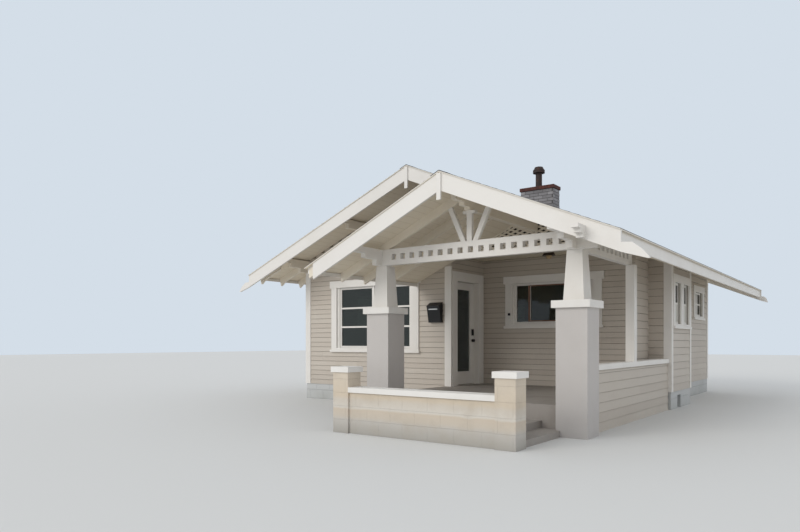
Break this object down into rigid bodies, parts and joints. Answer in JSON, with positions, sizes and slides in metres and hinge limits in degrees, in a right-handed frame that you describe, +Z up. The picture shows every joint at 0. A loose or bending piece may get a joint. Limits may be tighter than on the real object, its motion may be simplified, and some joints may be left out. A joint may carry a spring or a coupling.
{
  "type": "bungalow",
  "caption": "Low timber house with lap siding, a gabled porch on square piers with tapered columns, a low terrace wall and a hinged front door.",
  "frame": {"origin": "ground level at the middle of the house width, in the plane of the front bay wall", "axes": "+X to the right along the front, +Y towards the rear, +Z up"},
  "size_m": [9.73, 12.015, 5.148],
  "materials": {
    "foundation_paint": "painted block, matt",
    "floor_wood": "boards",
    "concrete": "trowelled concrete",
    "siding_paint": "painted lap siding, matt",
    "ceiling_board": "painted boards",
    "roof_shingle": "mineral shingle",
    "trim_paint": "painted timber, satin",
    "timber_paint": "painted timber",
    "stucco": "painted stucco",
    "cap_paint": "painted concrete",
    "glass": "clear",
    "black_metal": "satin black",
    "steel": "satin",
    "brick": "weathered painted brick",
    "cap_brick": "dark brick",
    "flue_metal": "rusted",
    "light_glass": "frosted"
  },
  "bodies": {
    "house": {"foundation": "foundation_paint", "house_floor": "floor_wood", "porch_floor": "concrete", "entry_steps": "concrete", "front_wall": "siding_paint", "door_wall": "siding_paint", "door_header": "siding_paint", "recess_wall": "siding_paint", "right_wall": "siding_paint", "left_wall": "siding_paint", "rear_wall": "siding_paint", "recess_header": "trim_paint", "gable_wall": "siding_paint", "bay_walls": "siding_paint", "ceiling": "ceiling_board", "main_roof_left": "roof_shingle", "main_roof_right": "roof_shingle", "porch_roof_left": "roof_shingle", "main_bargeboards": "trim_paint", "porch_bargeboards": "trim_paint", "rear_bargeboards": "trim_paint", "eave_fascias": "trim_paint", "rafter_tails": "timber_paint", "porch_rafters": "timber_paint", "porch_ridge_beam": "timber_paint", "side_beams": "trim_paint", "front_beam": "trim_paint", "gable_fan": "trim_paint", "gable_lattice": "trim_paint", "lookouts": "timber_paint", "piers": "stucco", "pier_caps": "cap_paint", "columns": "trim_paint", "low_wall": "stucco", "pilasters": "stucco", "terrace_caps": "cap_paint", "side_wall": "siding_paint", "side_wall_cap": "cap_paint", "beam_post": "trim_paint", "corner_boards": "trim_paint", "window_casings": "trim_paint", "window_sashes": "trim_paint", "window_panes": "glass", "door_casing": "trim_paint", "door_hinges": "steel", "chimney": "brick", "chimney_cap": "cap_brick", "flue": "flue_metal", "mailbox": "black_metal", "porch_light": "light_glass"},
    "door": {"front_door": "trim_paint", "door_pane": "glass", "door_lock": "black_metal"}
  },
  "joints": [
    {"name": "front_door_swing", "type": "hinge", "parent": "house", "child": "door", "pos_m": [0.2347, 0.21, 0.425], "axis": [0, 0, 1], "range_deg": [0, 90]}
  ]
}
